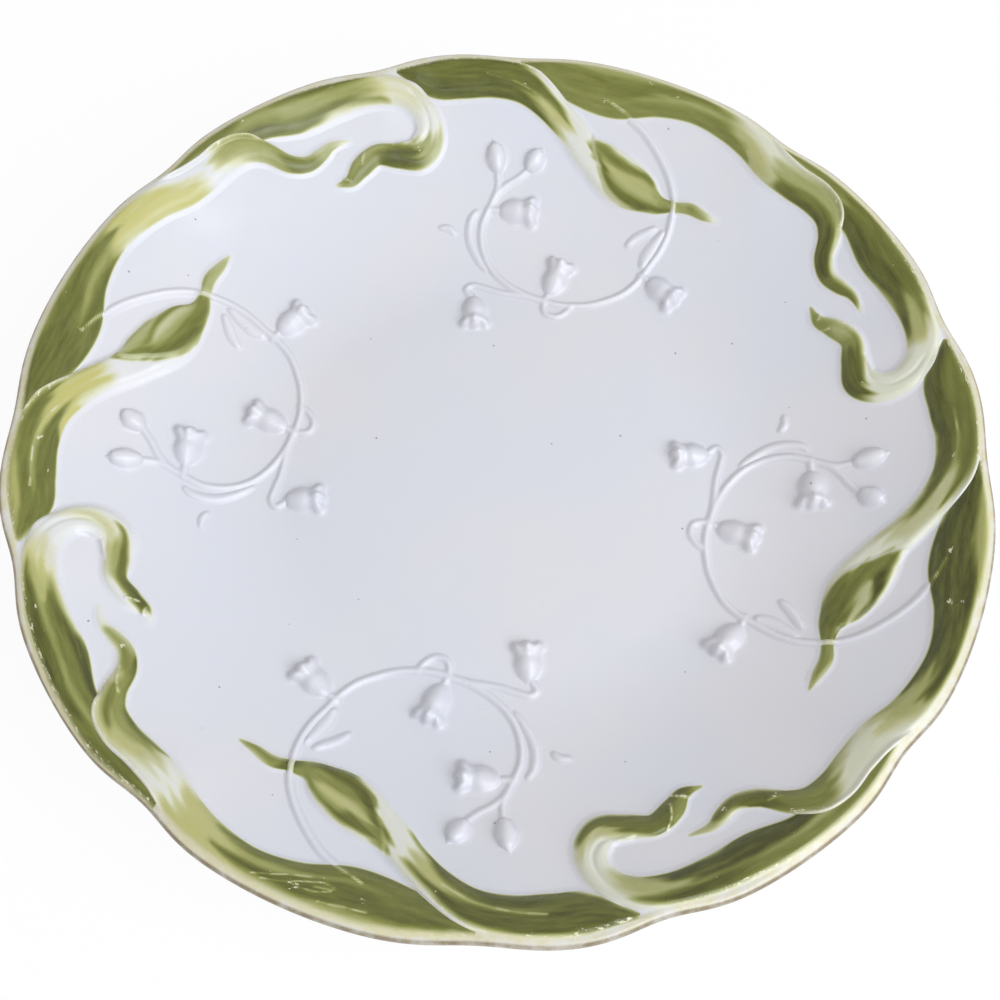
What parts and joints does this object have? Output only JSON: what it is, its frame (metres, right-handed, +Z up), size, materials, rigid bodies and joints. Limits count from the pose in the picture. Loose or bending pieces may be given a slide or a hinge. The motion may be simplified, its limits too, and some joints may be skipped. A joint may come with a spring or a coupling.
{
  "type": "porcelain plate",
  "caption": "Round coupe plate with a softly lobed rim, a wreath of green relief leaves round the rim and white lily-of-the-valley sprigs in relief on the flank, on a foot ring.",
  "frame": {"origin": "centre of the circle on which the foot ring stands, on the table", "axes": "+Z up out of the well along the plate's axis; -Y toward the viewer of the picture, +X to the viewer's right"},
  "size_m": [0.2146, 0.2146, 0.0303],
  "materials": {
    "white_glaze": "gloss glaze, bluish white",
    "white_relief": "gloss glaze over relief",
    "painted_leaf": "hand painted green and yellow under gloss glaze, worn on the ridges",
    "bare_foot": "unglazed biscuit, smooth"
  },
  "bodies": {
    "root": {"plate_body": "white_glaze", "foot_ring": "bare_foot", "hook_leaf_1": "painted_leaf", "ribbon_leaf_1": "painted_leaf", "blade_leaf_1": "painted_leaf", "sprig_1_stem": "white_relief", "sprig_1_bell_1": "white_relief", "sprig_1_bell_2": "white_relief", "sprig_1_bell_3": "white_relief", "sprig_1_bell_4": "white_relief", "sprig_1_bud_5": "white_relief", "sprig_1_bud_6": "white_relief", "sprig_1_bract_1": "white_relief", "sprig_1_bract_2": "white_relief", "sprig_1_bract_3": "white_relief", "sprig_1_bract_4": "white_relief", "hook_leaf_2": "painted_leaf", "ribbon_leaf_2": "painted_leaf", "blade_leaf_2": "painted_leaf", "sprig_2_stem": "white_relief", "sprig_2_bell_1": "white_relief", "sprig_2_bell_2": "white_relief", "sprig_2_bell_3": "white_relief", "sprig_2_bell_4": "white_relief", "sprig_2_bud_5": "white_relief", "sprig_2_bud_6": "white_relief", "sprig_2_bract_1": "white_relief", "sprig_2_bract_2": "white_relief", "sprig_2_bract_3": "white_relief", "sprig_2_bract_4": "white_relief", "hook_leaf_3": "painted_leaf", "ribbon_leaf_3": "painted_leaf", "blade_leaf_3": "painted_leaf", "sprig_3_stem": "white_relief", "sprig_3_bell_1": "white_relief", "sprig_3_bell_2": "white_relief", "sprig_3_bell_3": "white_relief", "sprig_3_bell_4": "white_relief", "sprig_3_bud_5": "white_relief", "sprig_3_bud_6": "white_relief", "sprig_3_bract_1": "white_relief", "sprig_3_bract_2": "white_relief", "sprig_3_bract_3": "white_relief", "sprig_3_bract_4": "white_relief", "hook_leaf_4": "painted_leaf", "ribbon_leaf_4": "painted_leaf", "blade_leaf_4": "painted_leaf", "sprig_4_stem": "white_relief", "sprig_4_bell_1": "white_relief", "sprig_4_bell_2": "white_relief", "sprig_4_bell_3": "white_relief", "sprig_4_bell_4": "white_relief", "sprig_4_bud_5": "white_relief", "sprig_4_bud_6": "white_relief", "sprig_4_bract_1": "white_relief", "sprig_4_bract_2": "white_relief", "sprig_4_bract_3": "white_relief", "sprig_4_bract_4": "white_relief"}
  },
  "joints": []
}
